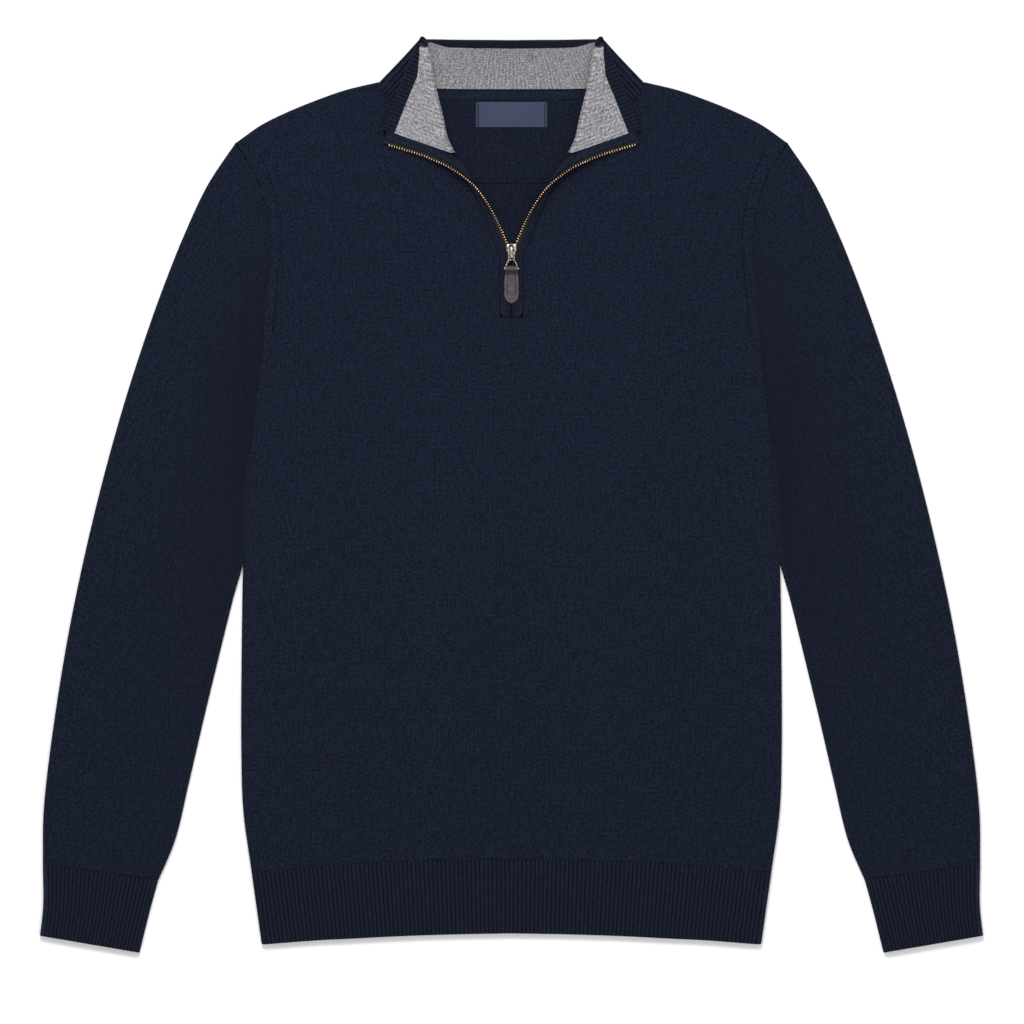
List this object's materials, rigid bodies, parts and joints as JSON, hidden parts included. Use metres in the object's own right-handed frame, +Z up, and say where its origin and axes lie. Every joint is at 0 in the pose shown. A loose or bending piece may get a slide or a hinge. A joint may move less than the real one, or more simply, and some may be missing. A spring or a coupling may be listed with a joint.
{
  "type": "quarter zip sweater",
  "caption": "Fine knit sweater laid flat face up, with ribbed hem and cuffs, a turned down ribbed collar lined in grey and a half open front zip with a leather pull.",
  "frame": {"origin": "middle of the outline on the surface that the sweater lies on", "axes": "+Z up out of the surface, +Y toward the collar, +X toward the right of someone looking down on the front"},
  "size_m": [0.7736, 0.7514, 0.0284],
  "materials": {
    "knit_navy": "fine plain knit, dark navy with a faint heather",
    "rib_navy": "one by one rib, dark navy",
    "lining_grey": "grey marl knit",
    "facing_navy": "woven navy tape",
    "zip_tape": "black woven zip tape",
    "label_blue": "woven satin label, blank",
    "zip_metal": "pale antique metal",
    "leather": "mauve brown leather with stitched edge"
  },
  "bodies": {
    "sweater": {"back_panel": "knit_navy", "front_panel": "knit_navy", "hem_back": "rib_navy", "hem_front": "rib_navy", "sleeve_right": "knit_navy", "cuff_right": "rib_navy", "zip_tape_right": "zip_tape", "placket_band_right": "knit_navy", "zip_facing_right": "facing_navy", "sleeve_left": "knit_navy", "cuff_left": "rib_navy", "zip_tape_left": "zip_tape", "placket_band_left": "knit_navy", "zip_facing_left": "facing_navy", "collar": "rib_navy", "collar_lining_left": "lining_grey", "collar_lining_right": "lining_grey", "collar_lining_back": "lining_grey", "neck_tape": "facing_navy", "neck_patch": "knit_navy", "label": "label_blue", "slider": "zip_metal"},
    "bail": {"pull_bail": "zip_metal"},
    "tab": {"pull_tab": "leather"}
  },
  "joints": [
    {"name": "bail_swing", "type": "hinge", "parent": "sweater", "child": "bail", "pos_m": [0, 0.198, 0.0087], "axis": [-1, 0, 0], "range_deg": [0, 150]},
    {"name": "tab_swing", "type": "hinge", "parent": "bail", "child": "tab", "pos_m": [0, 0.1852, 0.0097], "axis": [-1, 0, 0], "range_deg": [0, 40]}
  ]
}
